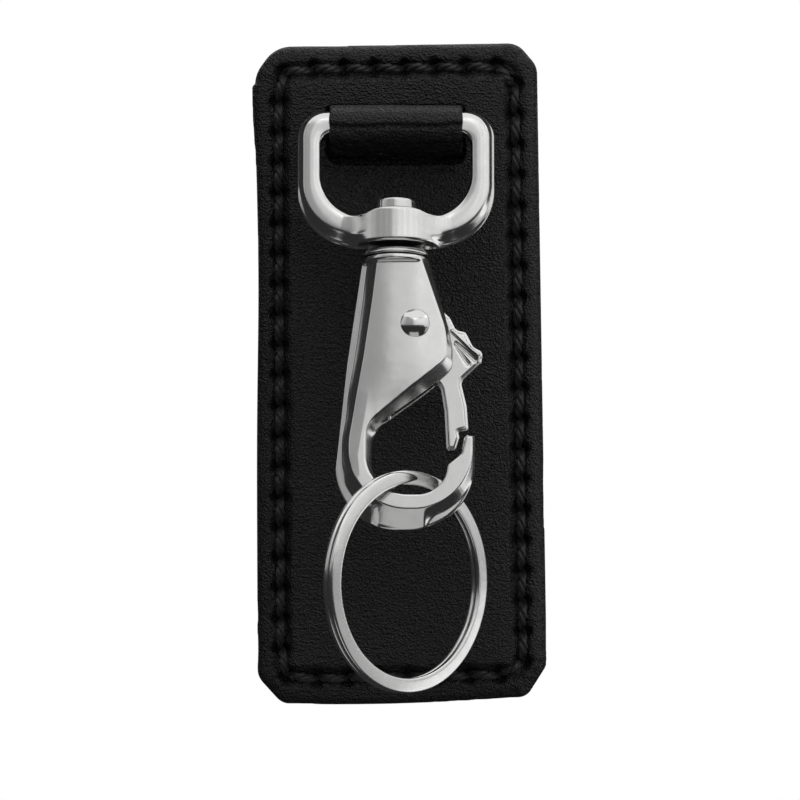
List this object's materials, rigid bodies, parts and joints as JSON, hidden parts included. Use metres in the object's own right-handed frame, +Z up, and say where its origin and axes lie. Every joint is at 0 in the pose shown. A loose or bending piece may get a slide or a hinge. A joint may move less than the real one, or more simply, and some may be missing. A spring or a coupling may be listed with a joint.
{
  "type": "belt key holder",
  "caption": "Padded leather belt panel with a leather tab that holds a square eye, a swivel snap hook and a split ring for keys.",
  "frame": {"origin": "centre of the slot between the panel and its belt loop, where the belt passes", "axes": "+Z up along the panel, +Y from the front of the panel towards the wearer, +X to the viewer's right"},
  "size_m": [0.042, 0.0419, 0.095],
  "materials": {
    "leather": "semi-gloss pebble grain",
    "lining": "matt",
    "board": "matt",
    "thread": "waxed",
    "nickel": "polished nickel plate",
    "steel": "polished"
  },
  "bodies": {
    "panel": {"front_panel": "leather", "core_board": "board", "back_panel": "lining", "hook_tab": "leather", "belt_loop": "leather", "seam_needle_thread": "thread", "seam_bobbin_thread": "thread", "tab_upper_stitching": "thread", "tab_lower_stitching": "thread", "belt_loop_upper_stitching": "thread", "belt_loop_lower_stitching": "thread"},
    "eye": {"swivel_eye": "nickel"},
    "hook": {"swivel_pin": "steel", "swivel_washer": "steel", "hook_body": "nickel", "gate_rivet": "steel", "gate_spring": "steel"},
    "gate": {"gate_lever": "nickel"},
    "ring": {"split_ring": "nickel"}
  },
  "joints": [
    {"name": "eye_swing", "type": "hinge", "parent": "panel", "child": "eye", "pos_m": [0, -0.0134, 0.0235], "axis": [-1, 0, 0], "range_deg": [0, 165]},
    {"name": "hook_swivel", "type": "hinge", "parent": "eye", "child": "hook", "pos_m": [0, -0.0134, 0.0235], "axis": [0, 0.2079, 0.9781], "continuous": true},
    {"name": "gate_open", "type": "hinge", "parent": "hook", "child": "gate", "pos_m": [0.00275, -0.01964, -0.00584], "axis": [0, 0.9781, -0.2079], "range_deg": [0, 22], "stiffness_Nm_per_rad": 0.002, "springref_deg": -34.38, "deforming": ["gate_spring"]},
    {"name": "ring_swing", "type": "hinge", "parent": "hook", "child": "ring", "pos_m": [0.0015, -0.02527, -0.03185], "axis": [-1, 0, 0], "range_deg": [-20, 28]}
  ]
}
